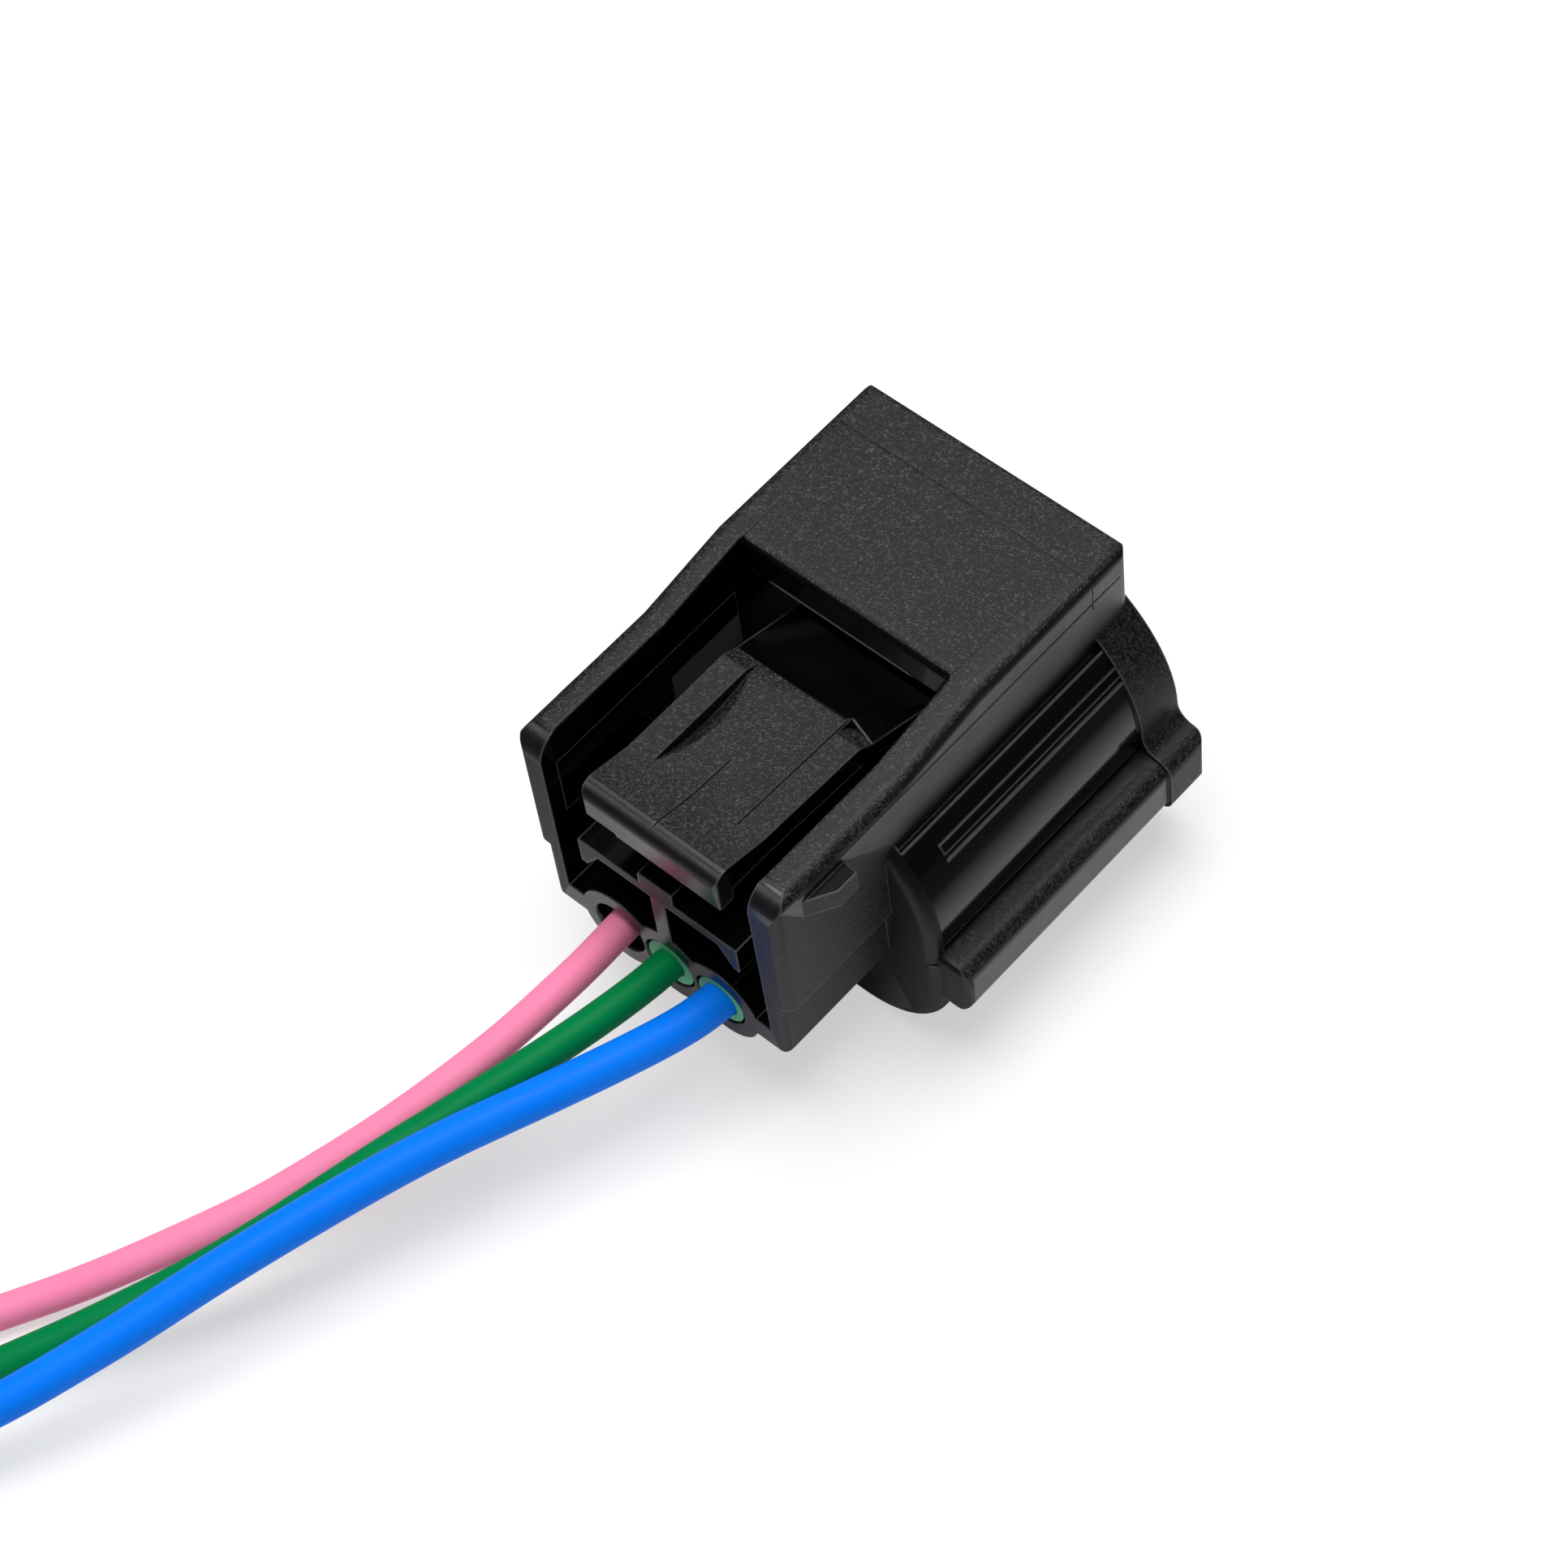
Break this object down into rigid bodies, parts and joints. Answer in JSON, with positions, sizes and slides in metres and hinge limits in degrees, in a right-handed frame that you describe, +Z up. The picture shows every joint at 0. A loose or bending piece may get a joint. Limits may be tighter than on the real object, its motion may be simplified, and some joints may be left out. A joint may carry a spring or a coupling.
{
  "type": "wiring harness connector",
  "caption": "Sealed black plug housing with a guarded press latch, a skirt for the mating half and seal tubes at the rear, from which coloured leads run to a tied coil.",
  "frame": {"origin": "on the surface the connector rests on, under the middle of the housing", "axes": "+Y out of the mating face, -Y the way the leads leave, +Z up through the deck of the hood, +X to the side of the blue lead"},
  "size_m": [0.0436, 0.1078, 0.0223],
  "materials": {
    "black_pbt": "fine moulded texture",
    "pale_pbt": "moulded",
    "green_silicone": "satin",
    "tinned_brass": "tinned",
    "copper_strand": "bright strands",
    "pink_insulation": "smooth extruded",
    "green_insulation": "smooth extruded",
    "blue_insulation": "smooth extruded",
    "coiled_insulation": "smooth extruded",
    "nylon": "natural"
  },
  "bodies": {
    "housing": {"housing": "black_pbt", "front_retainer": "pale_pbt", "mating_seal": "green_silicone", "wire_seal_1": "green_silicone", "wire_seal_2": "green_silicone", "wire_seal_3": "green_silicone", "terminal_1": "tinned_brass", "terminal_2": "tinned_brass", "terminal_3": "tinned_brass", "crimped_core_1": "copper_strand", "crimped_core_2": "copper_strand", "crimped_core_3": "copper_strand", "lead_pink": "pink_insulation", "lead_green": "green_insulation", "lead_blue": "blue_insulation", "lead_coil": "coiled_insulation", "lead_tie": "nylon"},
    "lever": {"latch_lever": "black_pbt"}
  },
  "joints": [
    {"name": "latch", "type": "hinge", "parent": "housing", "child": "lever", "pos_m": [0, 0.0043, 0.0169], "axis": [1, 0, 0], "range_deg": [0, 4.5], "stiffness_Nm_per_rad": 0.1}
  ]
}
